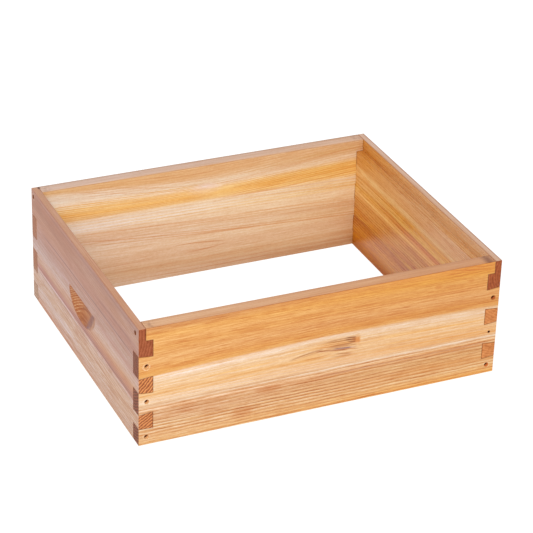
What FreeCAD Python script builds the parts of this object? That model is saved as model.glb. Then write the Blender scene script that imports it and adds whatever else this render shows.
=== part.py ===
import FreeCAD, Part
import os
import math
import Sketcher

# Langstroth medium super: four solid boards joined by nailed dovetail corners.
# Millimetres.  The origin is the middle of the box footprint at the bottom rim,
# +X runs along the long side boards, -Y is the front side board, +Z is up.

os.makedirs("parts", exist_ok=True)
doc = FreeCAD.newDocument("hive_box")
V = FreeCAD.Vector

# ---------------------------------------------------------------- dimensions
TABLE = [
    ("box_length", 504.825),        # outside, 19-7/8 in
    ("box_width", 412.75),          # outside, 16-1/4 in
    ("box_height", 168.275),        # 6-5/8 in
    ("board_thick", 19.05),         # 3/4 in boards
    ("rabbet_wide", 9.525),         # frame rest, 3/8 in wide
    ("rabbet_deep", 17.4625),       # frame rest, 11/16 in deep
    ("pin_top_high", 39.3),         # height of the topmost pin at the outer face
    ("tail_high", 32.0),            # height of a tail at its end
    ("pin_high", 20.2),             # height of a pin at the outer face
    ("flare", 1.7),                 # dovetail slope over one board thickness
    ("hand_top_down", 69.3),        # flat edge of the hand hold, below the top rim
    ("hand_half_wide", 50.4),       # half width of the hand hold
    ("hand_off_mid", 2.3),          # centre of the hand hold past the middle of the board
    ("hand_deep", 12.7),            # deepest point of the scoop
    ("hand_axis_down", 5.0),        # scoop axis below the flat edge
    ("hand_axis_out", 29.1),        # scoop axis outside the board face
    ("nail_head_dia", 6.4),
    ("nail_head_thick", 1.6),
    ("nail_shank_dia", 3.2),
    ("nail_long", 50.0),            # under the outer face of the head to the tip
    ("nail_point", 5.0),            # length of the taper at the tip
    ("nail_sink", 5.0),             # head below the board face
    ("small_head_dia", 3.6),        # finish nail at one corner
    ("small_shank_dia", 2.4),
    # nail positions: distance in from the corner, distance down from the top rim
    ("front_left_in_upper", 10.8), ("front_left_down_upper", 54.1),
    ("front_left_in_middle", 10.8), ("front_left_down_middle", 105.2),
    ("front_left_in_lower", 10.4), ("front_left_down_lower", 156.8),
    ("front_right_in_upper", 9.0), ("front_right_down_upper", 53.9),
    ("front_right_in_middle", 11.1), ("front_right_down_middle", 105.2),
    ("front_right_in_lower", 10.7), ("front_right_down_lower", 155.9),
    ("back_in", 10.6),
    ("back_down_upper", 54.0), ("back_down_middle", 105.2), ("back_down_lower", 156.4),
    ("end_nail_down", 10.0),
    ("left_end_in_near", 11.8), ("left_end_in_far", 8.0),
    ("right_end_in_near", 10.0), ("right_end_in_far", 10.0),
]
sheet = doc.addObject("Spreadsheet::Sheet", "dims")
for row, (alias, number) in enumerate(TABLE, start=1):
    sheet.set("A%d" % row, alias)
    sheet.set("B%d" % row, repr(number))
    sheet.setAlias("B%d" % row, alias)
doc.recompute()
VALUE = dict(TABLE)


class Q:
    """A length that carries its number and its spreadsheet formula together."""

    def __init__(self, number, text):
        self.n = float(number)
        self.t = text

    @staticmethod
    def of(other):
        return other if isinstance(other, Q) else Q(other, repr(float(other)))

    def join(self, other, sign, number):
        return Q(number, "(%s %s %s)" % (self.t, sign, other.t))

    def __add__(self, o):
        o = Q.of(o); return self.join(o, "+", self.n + o.n)

    def __sub__(self, o):
        o = Q.of(o); return self.join(o, "-", self.n - o.n)

    def __mul__(self, o):
        o = Q.of(o); return self.join(o, "*", self.n * o.n)

    def __truediv__(self, o):
        o = Q.of(o); return self.join(o, "/", self.n / o.n)

    def __neg__(self):
        return Q(-self.n, "(0 - %s)" % self.t)


def q(alias):
    return Q(VALUE[alias], "dims." + alias)


ZERO = Q(0.0, "0")
L, W, H, T = q("box_length"), q("box_width"), q("box_height"), q("board_thick")
RW, RD = q("rabbet_wide"), q("rabbet_deep")
FL = q("flare")
SINK, LONG = q("nail_sink"), q("nail_long")
HEAD, HTHICK, SHANK = q("nail_head_dia"), q("nail_head_thick"), q("nail_shank_dia")
SHEAD, SSHANK = q("small_head_dia"), q("small_shank_dia")

# heights of the joint lines at the outer face of the end boards, from the bottom
Z1 = H - q("pin_top_high")          # top pin / tail 1
Z2 = Z1 - q("tail_high")            # tail 1 / pin 2
Z3 = Z2 - q("pin_high")             # pin 2 / tail 2
Z4 = Z3 - q("tail_high")            # tail 2 / pin 3
Z5 = Z4 - q("pin_high")             # pin 3 / tail 3


# ---------------------------------------------------------------- helpers
def bind(obj, prop, quantity):
    obj.setExpression(prop, quantity.t)


def body_at(label, px, py, angle):
    """A body whose own frame sits at a bottom corner of the box."""
    b = doc.addObject("PartDesign::Body", label)
    b.Label = label
    b.Placement = FreeCAD.Placement(V(px.n, py.n, 0), FreeCAD.Rotation(V(0, 0, 1), angle))
    bind(b, "Placement.Base.x", px)
    bind(b, "Placement.Base.y", py)
    return b


def plane(body, role):
    for feature in body.Origin.OriginFeatures:
        if feature.Role == role:
            return feature
    raise RuntimeError("no plane " + role)


def sketch_on(body, name, role, off_z=None, off_x=None):
    sk = body.newObject("Sketcher::SketchObject", name)
    sk.AttachmentSupport = [(plane(body, role), "")]
    sk.MapMode = "FlatFace"
    dz = off_z.n if off_z else 0.0
    dx = off_x.n if off_x else 0.0
    sk.AttachmentOffset = FreeCAD.Placement(V(dx, 0, dz), FreeCAD.Rotation())
    if off_z:
        bind(sk, ".AttachmentOffset.Base.z", off_z)
    if off_x:
        bind(sk, ".AttachmentOffset.Base.x", off_x)
    return sk


def pin_point(sk, geo, pos, x, y):
    """Fix one sketch point at (x, y) from the sketch origin."""
    for kind, axis, c in (("DistanceX", -2, x), ("DistanceY", -1, y)):
        if c.t == "0":
            sk.addConstraint(Sketcher.Constraint("PointOnObject", geo, pos, axis))
        else:
            n = sk.addConstraint(Sketcher.Constraint(kind, -1, 1, geo, pos, c.n))
            sk.setExpression("Constraints[%d]" % n, c.t)


def loop(sk, points):
    """Closed polygon with every corner dimensioned."""
    first = sk.GeometryCount
    count = len(points)
    for i, (x, y) in enumerate(points):
        x2, y2 = points[(i + 1) % count]
        sk.addGeometry(Part.LineSegment(V(x.n, y.n, 0), V(x2.n, y2.n, 0)), False)
    for i in range(count):
        sk.addConstraint(Sketcher.Constraint("Coincident", first + i, 2,
                                             first + (i + 1) % count, 1))
    for i, (x, y) in enumerate(points):
        pin_point(sk, first + i, 1, x, y)


def rounds(sk, centres, dia):
    """Circles of one diameter."""
    for x, y in centres:
        g = sk.addGeometry(Part.Circle(V(x.n, y.n, 0), V(0, 0, 1), dia.n / 2), False)
        n = sk.addConstraint(Sketcher.Constraint("Diameter", g, dia.n))
        sk.setExpression("Constraints[%d]" % n, dia.t)
        pin_point(sk, g, 3, x, y)


def pad(body, name, sk, length, reverse):
    f = body.newObject("PartDesign::Pad", name)
    f.Profile = sk
    f.Type = "Length"
    f.Length = length.n
    bind(f, "Length", length)
    f.Reversed = reverse
    sk.Visibility = False
    doc.recompute()
    return f


def pocket(body, name, sk, depth, reverse, refine=True):
    before = body.Shape.Volume
    f = body.newObject("PartDesign::Pocket", name)
    f.Profile = sk
    f.Refine = refine
    f.Type = "Length"
    f.Length = depth.n
    bind(f, "Length", depth)
    f.Reversed = reverse
    sk.Visibility = False
    doc.recompute()
    body.Tip = f
    doc.recompute()
    if not body.Shape.Volume < before - 1e-3:
        raise RuntimeError("pocket %s removed nothing" % name)
    return f


# ---------------------------------------------------------------- side boards
def side_board(label, px, py, angle, start_nails, end_nails, start_in, end_in):
    """Long board.  Own frame: x along the board, y into the box, z up.
    start_nails / end_nails: (in from the corner, down from the rim, small?)."""
    b = body_at(label, px, py, angle)
    sk = sketch_on(b, label + "_outline", "XZ_Plane")
    left = [(RW, H), (RW, H - RD), (T, H - RD),
            (T, Z1 - FL), (ZERO, Z1), (ZERO, Z2), (T, Z2 + FL),
            (T, Z3 - FL), (ZERO, Z3), (ZERO, Z4), (T, Z4 + FL),
            (T, Z5 - FL), (ZERO, Z5), (ZERO, ZERO)]
    right = [(L - x if x.t != "0" else L, z) for x, z in reversed(left)]
    loop(sk, left + right)
    pad(b, label + "_plank", sk, T, True)

    big, small = [], []
    for inward, down, is_small in start_nails:
        (small if is_small else big).append((inward, H - down))
    for inward, down, is_small in end_nails:
        (small if is_small else big).append((L - inward, H - down))
    for tag, holes, head, shank in (("", big, HEAD, SHANK), ("_small", small, SHEAD, SSHANK)):
        if not holes:
            continue
        sk = sketch_on(b, label + tag + "_sinks", "XZ_Plane")
        rounds(sk, holes, head)
        pocket(b, label + tag + "_sink_cut", sk, SINK + HTHICK, False)
        sk = sketch_on(b, label + tag + "_bores", "XZ_Plane")
        rounds(sk, holes, shank)
        pocket(b, label + tag + "_bore_cut", sk, T, False)
    # the end nails run on into the tongues that fill the rabbet ends
    sk = sketch_on(b, label + "_start_bore", "YZ_Plane")
    rounds(sk, [(start_in, H - q("end_nail_down"))], SHANK)
    pocket(b, label + "_start_bore_cut", sk, SINK + LONG, True)
    sk = sketch_on(b, label + "_end_bore", "YZ_Plane", off_z=L)
    rounds(sk, [(end_in, H - q("end_nail_down"))], SHANK)
    pocket(b, label + "_end_bore_cut", sk, SINK + LONG, False)
    return b


# ---------------------------------------------------------------- end boards
def end_board(label, px, py, angle, start_nails, end_nails, start_in, end_in):
    """Short board.  Own frame: x into the box, y along the board, z up.
    start_nails / end_nails: side nails that run into this board from y = 0 and
    from y = box_width: (in from the corner, down from the rim, small?)."""
    b = body_at(label, px, py, angle)
    sk = sketch_on(b, label + "_section", "XZ_Plane")
    loop(sk, [(ZERO, ZERO), (T, ZERO), (T, H), (ZERO, H)])
    pad(b, label + "_plank", sk, W, True)
    # frame rest between the side boards, then a seat at each end, level with it,
    # for the tongue of the side board; the three floors stay separate faces
    for tag, off, run in (("_frame_rest", -T, W - T * 2), ("_start_seat", None, T),
                          ("_end_seat", T - W, T)):
        sk = sketch_on(b, label + tag, "XZ_Plane", off_z=off)
        loop(sk, [(RW, H - RD), (T, H - RD), (T, H), (RW, H)])
        pocket(b, label + tag + "_cut", sk, run, False, False)

    for tag, off, rev in (("_start", None, False), ("_end", -W, True)):
        sk = sketch_on(b, label + tag + "_sockets", "XZ_Plane", off_z=off)
        loop(sk, [(ZERO, Z1), (T, Z1 - FL), (T, Z2 + FL), (ZERO, Z2)])
        loop(sk, [(ZERO, Z3), (T, Z3 - FL), (T, Z4 + FL), (ZERO, Z4)])
        loop(sk, [(ZERO, Z5), (T, Z5 - FL), (T, ZERO), (ZERO, ZERO)])
        pocket(b, label + tag + "_socket_cut", sk, T, rev, False)
    for tag, off, rev, nails in (("_start", None, False, start_nails),
                                 ("_end", -W, True, end_nails)):
        for kind, shank in (("", SHANK), ("_small", SSHANK)):
            holes = [(inward, H - down) for inward, down, is_small in nails
                     if is_small == bool(kind)]
            if not holes:
                continue
            sk = sketch_on(b, label + tag + kind + "_bores", "XZ_Plane", off_z=off)
            rounds(sk, holes, shank)
            pocket(b, label + tag + kind + "_bore_cut", sk, SINK + LONG, rev, False)

    down = H - q("end_nail_down")
    heads = [(start_in, down), (W - end_in, down)]
    sk = sketch_on(b, label + "_sinks", "YZ_Plane")
    rounds(sk, heads, HEAD)
    pocket(b, label + "_sink_cut", sk, SINK + HTHICK, True, False)
    sk = sketch_on(b, label + "_bores", "YZ_Plane")
    rounds(sk, heads, SHANK)
    pocket(b, label + "_bore_cut", sk, RW, True, False)

    # hand hold: a scoop turned about a level axis outside the face, with a flat upper edge
    a, d, out = q("hand_half_wide"), q("hand_deep"), q("hand_axis_out")
    level = H - q("hand_top_down") - q("hand_axis_down")
    sk = sketch_on(b, label + "_hand_profile", "XY_Plane", off_z=level, off_x=-out)
    mid = W / 2 + q("hand_off_mid")
    radius = (a * a + d * d) / (d * 2)
    corners = [(out, mid + a), (ZERO, mid + a), (ZERO, mid - a), (out, mid - a)]
    for i in range(3):
        (x1, y1), (x2, y2) = corners[i], corners[i + 1]
        sk.addGeometry(Part.LineSegment(V(x1.n, y1.n, 0), V(x2.n, y2.n, 0)), False)
    centre = V(out.n + d.n - radius.n, mid.n, 0)
    sweep = math.asin(a.n / radius.n)
    sk.addGeometry(Part.ArcOfCircle(Part.Circle(centre, V(0, 0, 1), radius.n),
                                    -sweep, sweep), False)
    sk.addConstraint(Sketcher.Constraint("Coincident", 0, 2, 1, 1))
    sk.addConstraint(Sketcher.Constraint("Coincident", 1, 2, 2, 1))
    sk.addConstraint(Sketcher.Constraint("Coincident", 2, 2, 3, 1))
    sk.addConstraint(Sketcher.Constraint("Coincident", 3, 2, 0, 1))
    pin_point(sk, 0, 1, *corners[0])
    pin_point(sk, 1, 1, *corners[1])
    pin_point(sk, 2, 1, *corners[2])
    pin_point(sk, 3, 1, *corners[3])
    n = sk.addConstraint(Sketcher.Constraint("Radius", 3, radius.n))
    sk.setExpression("Constraints[%d]" % n, radius.t)
    before = b.Shape.Volume
    g = b.newObject("PartDesign::Groove", label + "_hand_hold")
    g.Profile = sk
    g.Refine = False
    g.ReferenceAxis = (sk, ["V_Axis"])
    g.Type = "TwoAngles"
    lift = math.degrees(math.atan2(VALUE["hand_axis_down"], VALUE["hand_axis_out"]))
    g.Angle = 90.0
    g.Angle2 = lift
    g.setExpression("Angle2", "atan(dims.hand_axis_down / dims.hand_axis_out)")
    g.Reversed = HAND_REVERSED
    sk.Visibility = False
    doc.recompute()
    b.Tip = g
    doc.recompute()
    if not b.Shape.Volume < before - 1000.0:
        raise RuntimeError("hand hold removed nothing")
    return b


HAND_REVERSED = False


# ---------------------------------------------------------------- nails
def nail(name, head_dia, shank_dia, place):
    """One nail built along its own +Z: head at z = 0, tip at z = nail_long."""
    head = doc.addObject("Part::Cylinder", name + "_head")
    bind(head, "Radius", head_dia / 2)
    bind(head, "Height", HTHICK)
    shank = doc.addObject("Part::Cylinder", name + "_shank")
    bind(shank, "Radius", shank_dia / 2)
    bind(shank, "Height", LONG - q("nail_point") - HTHICK)
    bind(shank, "Placement.Base.z", HTHICK)
    point = doc.addObject("Part::Cone", name + "_point")
    bind(point, "Radius1", shank_dia / 2)
    bind(point, "Radius2", shank_dia / 10)
    bind(point, "Height", q("nail_point"))
    bind(point, "Placement.Base.z", LONG - q("nail_point"))
    f = doc.addObject("Part::MultiFuse", name)
    f.Shapes = [head, shank, point]
    px, py, pz, axis, angle = place
    f.Placement = FreeCAD.Placement(V(px.n, py.n, pz.n), FreeCAD.Rotation(axis, angle))
    bind(f, "Placement.Base.x", px)
    bind(f, "Placement.Base.y", py)
    bind(f, "Placement.Base.z", pz)
    return f


def nail_group(label, items):
    """items: (place, small?)  One node, one solid for each nail."""
    made = []
    for i, (place, is_small) in enumerate(items):
        made.append(nail("%s_piece_%s" % (label, "abc"[i]),
                         SHEAD if is_small else HEAD,
                         SSHANK if is_small else SHANK, place))
    if len(made) == 1:
        group = made[0]
    else:
        group = doc.addObject("Part::Compound", label)
        group.Links = made
    group.Label = label
    return group


def nail_rows(prefix):
    return [(q("%s_in_%s" % (prefix, w)), q("%s_down_%s" % (prefix, w))) for w in
            ("upper", "middle", "lower")]


XA, YA = V(1, 0, 0), V(0, 1, 0)
fl = nail_rows("front_left")
fr = nail_rows("front_right")
bk = [(q("back_in"), q("back_down_" + w)) for w in ("upper", "middle", "lower")]
fl_n = [(i, d, False) for i, d in fl]
fr_n = [(fr[0][0], fr[0][1], False), (fr[1][0], fr[1][1], True), (fr[2][0], fr[2][1], False)]
bk_n = [(i, d, False) for i, d in bk]
half_l, half_w = L / 2, W / 2
le_near, le_far = q("left_end_in_near"), q("left_end_in_far")
re_near, re_far = q("right_end_in_near"), q("right_end_in_far")

NODES = []
# front board: own x runs from the left corner to the right corner
NODES.append(side_board("front_board", -half_l, -half_w, 0, fl_n, fr_n, le_near, re_near))
# back board: the same board turned half round, own x runs from the right corner to the left
NODES.append(side_board("back_board", half_l, half_w, 180, bk_n, bk_n, re_far, le_far))
# left end: own y runs from the front corner to the back corner
NODES.append(end_board("left_end_board", -half_l, -half_w, 0, fl_n, bk_n, le_near, le_far))
# right end: the same board turned half round
NODES.append(end_board("right_end_board", half_l, half_w, 180, bk_n, fr_n, re_far, re_near))

face_f = SINK - half_w
face_b = half_w - SINK
face_l = SINK - half_l
face_r = half_l - SINK
NODES.append(nail_group("front_left_nails", [
    ((i - half_l, face_f, H - d, XA, -90), False) for i, d in fl]))
NODES.append(nail_group("front_right_nails", [
    ((half_l - i, face_f, H - d, XA, -90), False) for i, d in (fr[0], fr[2])]))
NODES.append(nail_group("front_right_small_nail", [
    ((half_l - fr[1][0], face_f, H - fr[1][1], XA, -90), True)]))
NODES.append(nail_group("back_left_nails", [
    ((i - half_l, face_b, H - d, XA, 90), False) for i, d in bk]))
NODES.append(nail_group("back_right_nails", [
    ((half_l - i, face_b, H - d, XA, 90), False) for i, d in bk]))
zn = H - q("end_nail_down")
NODES.append(nail_group("left_end_nails", [
    ((face_l, le_near - half_w, zn, YA, 90), False),
    ((face_l, half_w - le_far, zn, YA, 90), False)]))
NODES.append(nail_group("right_end_nails", [
    ((face_r, re_near - half_w, zn, YA, -90), False),
    ((face_r, half_w - re_far, zn, YA, -90), False)]))
doc.recompute()

# ---------------------------------------------------------------- checks and files
for obj in doc.Objects:
    if "Invalid" in obj.State or "Error" in obj.State:
        raise RuntimeError("%s is %s" % (obj.Name, obj.State))
for node in NODES:
    shape = node.Shape
    if shape.isNull() or not shape.isValid() or not shape.Solids:
        raise RuntimeError("bad shape " + node.Label)
    box = shape.BoundBox
    print("%-24s solids %d  volume %.1f  x %.2f..%.2f  y %.2f..%.2f  z %.2f..%.2f" % (
        node.Label, len(shape.Solids), shape.Volume,
        box.XMin, box.XMax, box.YMin, box.YMax, box.ZMin, box.ZMax))
    shape.exportStep("parts/%s.step" % node.Label)
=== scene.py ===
import bpy
import math
from mathutils import Matrix, Vector


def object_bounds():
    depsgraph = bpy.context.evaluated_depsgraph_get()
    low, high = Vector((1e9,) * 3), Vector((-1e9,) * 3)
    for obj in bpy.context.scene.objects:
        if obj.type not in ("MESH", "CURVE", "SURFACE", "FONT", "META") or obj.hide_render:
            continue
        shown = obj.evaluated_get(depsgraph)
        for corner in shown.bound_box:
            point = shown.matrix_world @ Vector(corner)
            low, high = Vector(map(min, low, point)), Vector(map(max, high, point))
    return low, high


# Shallow wooden hive box: four boards with nailed dovetail corners.
# The CAD boards and nails are shown as they are, with eased edges and their
# own procedural wood and steel.  All positions below are in millimetres.

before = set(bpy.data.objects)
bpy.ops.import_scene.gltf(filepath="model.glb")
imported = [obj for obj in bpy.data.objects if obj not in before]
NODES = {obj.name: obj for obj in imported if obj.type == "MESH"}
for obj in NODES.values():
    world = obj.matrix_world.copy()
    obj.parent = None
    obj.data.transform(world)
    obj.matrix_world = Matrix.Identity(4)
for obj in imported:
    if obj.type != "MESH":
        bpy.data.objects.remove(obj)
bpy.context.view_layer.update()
LO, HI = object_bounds()
L, W, H = [(HI[i] - LO[i]) * 1000 for i in range(3)]
T = 19.05
scene = bpy.context.scene


# ------------------------------------------------------------------ camera
def make_camera():
    a, e, roll = math.radians(-24.571), math.radians(28.573), math.radians(1.843)
    target = Vector((0.04097, 0.06757, 0.060))
    back = Vector((math.sin(a) * math.cos(e), -math.cos(a) * math.cos(e), math.sin(e)))
    fwd = -back
    x = fwd.cross(Vector((0, 0, 1))).normalized()
    y = fwd.cross(x)
    x2 = math.cos(roll) * x - math.sin(roll) * y
    y2 = math.sin(roll) * x + math.cos(roll) * y
    cam = bpy.data.objects.new("camera", bpy.data.cameras.new("camera"))
    cam.data.lens = 148.51
    cam.data.sensor_width = 36.0
    cam.data.clip_end = 60.0
    m = Matrix((x2, -y2, -fwd)).transposed().to_4x4()
    m.translation = target + back * 3.0513
    cam.matrix_world = m
    scene.collection.objects.link(cam)
    scene.camera = cam


make_camera()


# ------------------------------------------------------------------ node maths
class E:
    """A number or a node socket, with arithmetic that makes Math nodes."""

    def __init__(self, g, v):
        self.g, self.v = g, v

    def __add__(self, o):
        return self.g.m("ADD", self, o)

    __radd__ = __add__

    def __mul__(self, o):
        return self.g.m("MULTIPLY", self, o)

    __rmul__ = __mul__

    def __sub__(self, o):
        return self.g.m("SUBTRACT", self, o)

    def __rsub__(self, o):
        return self.g.m("SUBTRACT", o, self)

    def __truediv__(self, o):
        return self.g.m("DIVIDE", self, o)

    def __neg__(self):
        return self.g.m("MULTIPLY", self, -1.0)


class Graph:
    def __init__(self, tree):
        self.nt = tree
        self.nt.nodes.clear()

    def node(self, kind, **props):
        n = self.nt.nodes.new(kind)
        for k, v in props.items():
            setattr(n, k, v)
        return n

    def put(self, sock, v):
        if isinstance(v, E):
            v = v.v
        if isinstance(v, bpy.types.NodeSocket):
            self.nt.links.new(v, sock)
        elif isinstance(v, (tuple, list)):
            sock.default_value = tuple(v) + ((1.0,) if len(v) == 3 and len(sock.default_value) == 4 else ())
        else:
            sock.default_value = v

    def m(self, op, a, b=None, c=None, clamp=False):
        n = self.node("ShaderNodeMath", operation=op, use_clamp=clamp)
        for i, v in enumerate((a, b, c)):
            if v is not None:
                self.put(n.inputs[i], v)
        return E(self, n.outputs[0])

    def abs(self, a):
        return self.m("ABSOLUTE", a)

    def sqrt(self, a):
        return self.m("SQRT", a)

    def max(self, a, b):
        return self.m("MAXIMUM", a, b)

    def min(self, a, b):
        return self.m("MINIMUM", a, b)

    def sat(self, a):
        return self.m("ADD", a, 0.0, clamp=True)

    def pow(self, a, b):
        return self.m("POWER", a, b)

    def step(self, x, lo, hi):
        """0 at lo, 1 at hi, smooth between; lo may be above hi."""
        n = self.node("ShaderNodeMapRange", interpolation_type="SMOOTHSTEP")
        self.put(n.inputs["Value"], x)
        self.put(n.inputs["From Min"], lo)
        self.put(n.inputs["From Max"], hi)
        return E(self, n.outputs[0])

    def hump(self, x, c, w):
        """1 at c, smoothly 0 a distance w away."""
        return self.step(self.abs(x - c if isinstance(c, E) or c else x), w, 0.0)

    def lerp(self, f, a, b):
        return a + f * (b - a) if isinstance(b, E) else a * (1.0 - f) + f * b

    def vec(self, x, y, z):
        n = self.node("ShaderNodeCombineXYZ")
        for i, v in enumerate((x, y, z)):
            self.put(n.inputs[i], v)
        return n.outputs[0]

    def noise(self, x, y, z, detail=2.0, rough=0.5, distort=0.0):
        """Centred on zero, roughly -0.5 to 0.5."""
        n = self.node("ShaderNodeTexNoise")
        self.nt.links.new(self.vec(x, y, z), n.inputs["Vector"])
        n.inputs["Scale"].default_value = 1.0
        n.inputs["Detail"].default_value = detail
        n.inputs["Roughness"].default_value = rough
        n.inputs["Distortion"].default_value = distort
        return E(self, n.outputs[0]) - 0.5

    def ramp(self, x, stops):
        """Colour by distance: stops are (mm, (r, g, b)) in linear colour."""
        lo, hi = stops[0][0], stops[-1][0]
        n = self.node("ShaderNodeValToRGB")
        cr = n.color_ramp
        cr.interpolation = "LINEAR"
        while len(cr.elements) < len(stops):
            cr.elements.new(0.5)
        for el, (p, c) in zip(cr.elements, stops):
            el.position = (p - lo) / (hi - lo)
            el.color = (*c, 1.0)
        self.put(n.inputs[0], self.m("DIVIDE", x - lo, hi - lo, clamp=True))
        return n.outputs[0]

    def mix(self, f, a, b, mode="MIX"):
        n = self.node("ShaderNodeMix", data_type="RGBA", blend_type=mode)
        n.clamp_factor = True
        self.put(n.inputs[0], f)
        self.put(n.inputs[6], a)
        self.put(n.inputs[7], b)
        return n.outputs[2]

    def gain(self, col, f):
        """Colour times a number."""
        n = self.node("ShaderNodeVectorMath", operation="SCALE")
        self.put(n.inputs[0], col)
        self.put(n.inputs["Scale"], f)
        return n.outputs[0]

    def finish(self, col, rough, height, dist, spec=0.5, metal=0.0, coat=0.0, tint=(1.0, 1.0, 1.0)):
        bs = self.node("ShaderNodeBsdfPrincipled")
        out = self.node("ShaderNodeOutputMaterial")
        self.put(bs.inputs["Base Color"], col)
        self.put(bs.inputs["Roughness"], rough)
        bs.inputs["Metallic"].default_value = metal
        self.put(bs.inputs["Specular IOR Level"], spec)
        self.put(bs.inputs["Specular Tint"], tint)
        bs.inputs["Coat Weight"].default_value = coat
        bs.inputs["Coat Roughness"].default_value = 0.3
        bp = self.node("ShaderNodeBump")
        bp.inputs["Strength"].default_value = 1.0
        bp.inputs["Distance"].default_value = dist
        self.put(bp.inputs["Height"], height)
        self.nt.links.new(bp.outputs[0], bs.inputs["Normal"])
        self.nt.links.new(bs.outputs[0], out.inputs[0])

    def use(self, group, *values):
        """Place a node group and feed its inputs in order."""
        n = self.node("ShaderNodeGroup", node_tree=group)
        for sock, v in zip(n.inputs, values):
            self.put(sock, v)
        return n.outputs[0]


def new_material(name):
    mat = bpy.data.materials.new(name)
    mat.use_nodes = True
    return mat, Graph(mat.node_tree)


def new_group(name, inputs, build, out="NodeSocketColor"):
    tree = bpy.data.node_groups.new(name, "ShaderNodeTree")
    for word in inputs.split():
        kind = "NodeSocketColor" if word in ("colour", "tint") else "NodeSocketFloat"
        tree.interface.new_socket(word, in_out="INPUT", socket_type=kind)
    tree.interface.new_socket("out", in_out="OUTPUT", socket_type=out)
    g = Graph(tree)
    gi, go = g.node("NodeGroupInput"), g.node("NodeGroupOutput")
    g.put(go.inputs[0], build(g, *[E(g, o) for o in gi.outputs[:len(inputs.split())]]))
    return tree


def build_stroke(g, col, u, d, gain, u0, inv, d0, rise, bow, half, a0, a1, b0, b1, tint):
    """A line along the grain from u0, with soft ends and sides."""
    tt = (u - u0) * inv
    c = tt * rise + d0 + tt * (1.0 - tt) * bow
    m = g.step(g.abs(d - c), half, 0.0) * g.step(tt, a0, a1) * g.step(tt, b0, b1)
    return g.mix(m * gain, col, tint, "MULTIPLY")


def build_patch(g, col, u, d, rag, u0, d0, iu, idd, gain, tint):
    a, b = (u - u0) * iu, (d - d0) * idd
    return g.mix(g.step(a * a + b * b + rag, 1.0, 0.0) * gain, col, tint, "MULTIPLY")


def build_bundle(g, col, x, u, d, gain, slope, inv, d0, d1, ua, ub, uc, ud, tint):
    """A set of close lines between d0 and d1, fading in over ua..ub and out over uc..ud."""
    f = g.m("FRACT", (x + u * slope) * inv)
    m = g.hump(f, 0.5, 0.40) * g.step(d, d0 - 2.0, d0 + 3.0) * g.step(d, d1 + 2.0, d1 - 3.0)
    return g.mix(m * g.step(u, ua, ub) * g.step(u, uc, ud) * gain, col, tint, "MULTIPLY")


def build_distance(g, u, d, u0, d0):
    a, b = u - u0, d - d0
    return g.sqrt(a * a + b * b)


def build_tone(g, tone, pr, pg, pb):
    n = g.node("ShaderNodeCombineColor")
    for i, pw in enumerate((pr, pg, pb)):
        g.put(n.inputs[i], g.pow(tone, pw))
    return n.outputs[0]


STROKE = new_group("grain_stroke", "colour u d gain u0 inv d0 rise bow half a0 a1 b0 b1 tint", build_stroke)
PATCH = new_group("grain_patch", "colour u d rag u0 d0 iu id gain tint", build_patch)
BUNDLE = new_group("grain_bundle", "colour x u d gain slope inv d0 d1 ua ub uc ud tint", build_bundle)
DISTANCE = new_group("distance", "u d u0 d0", build_distance, "NodeSocketFloat")
TONE = new_group("tone", "tone pr pg pb", build_tone)


def lin(rgb):
    """8-bit display colour to linear."""
    out = []
    for c in rgb:
        c = c / 255.0
        out.append(c / 12.92 if c <= 0.04045 else ((c + 0.055) / 1.055) ** 2.4)
    return tuple(out)


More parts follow.
